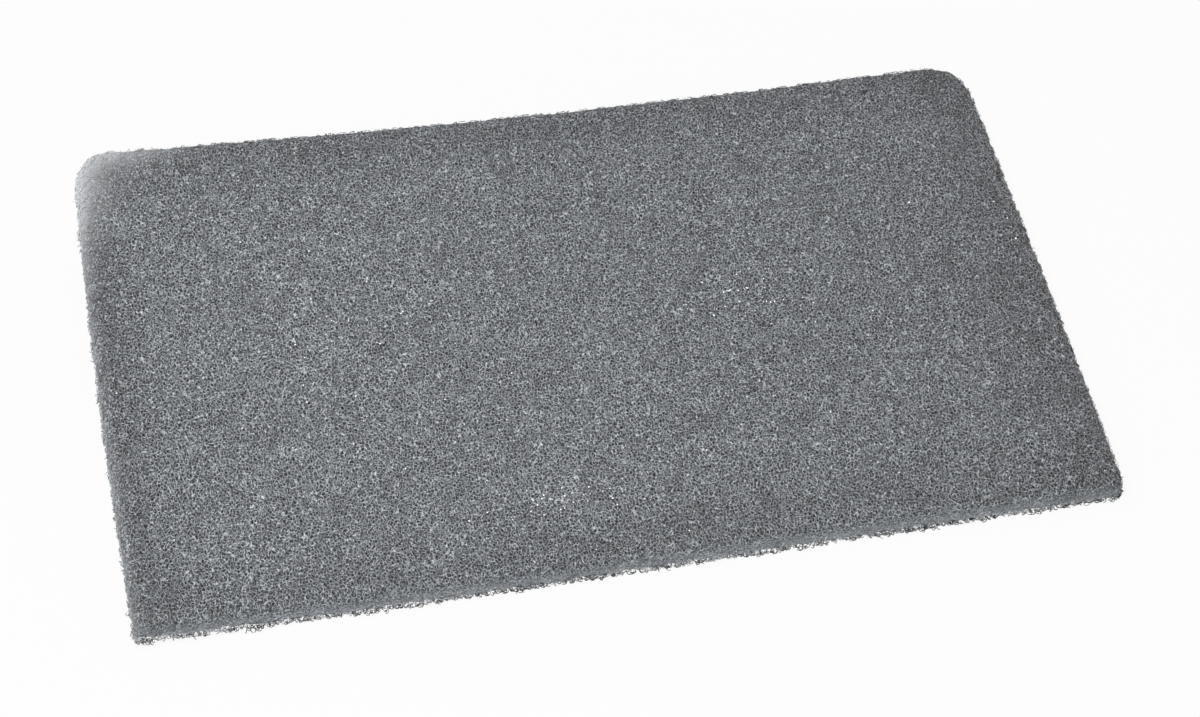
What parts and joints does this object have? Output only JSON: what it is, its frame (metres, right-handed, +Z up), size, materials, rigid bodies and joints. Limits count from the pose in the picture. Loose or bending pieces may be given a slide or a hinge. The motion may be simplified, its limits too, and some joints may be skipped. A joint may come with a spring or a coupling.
{
  "type": "abrasive sheet",
  "caption": "Flat rectangular sheet of lofty bonded abrasive web, with ragged cut edges, rounded far corners and one corner that curls up.",
  "frame": {"origin": "on the surface that the sheet lies on, under the middle of its outline", "axes": "+X along the sheet's length, +Y across it from the near edge to the far edge, +Z up"},
  "size_m": [0.2306, 0.1536, 0.0166],
  "materials": {
    "web": "matte, open fibre web"
  },
  "bodies": {
    "root": {"abrasive_sheet": "web"}
  },
  "joints": []
}
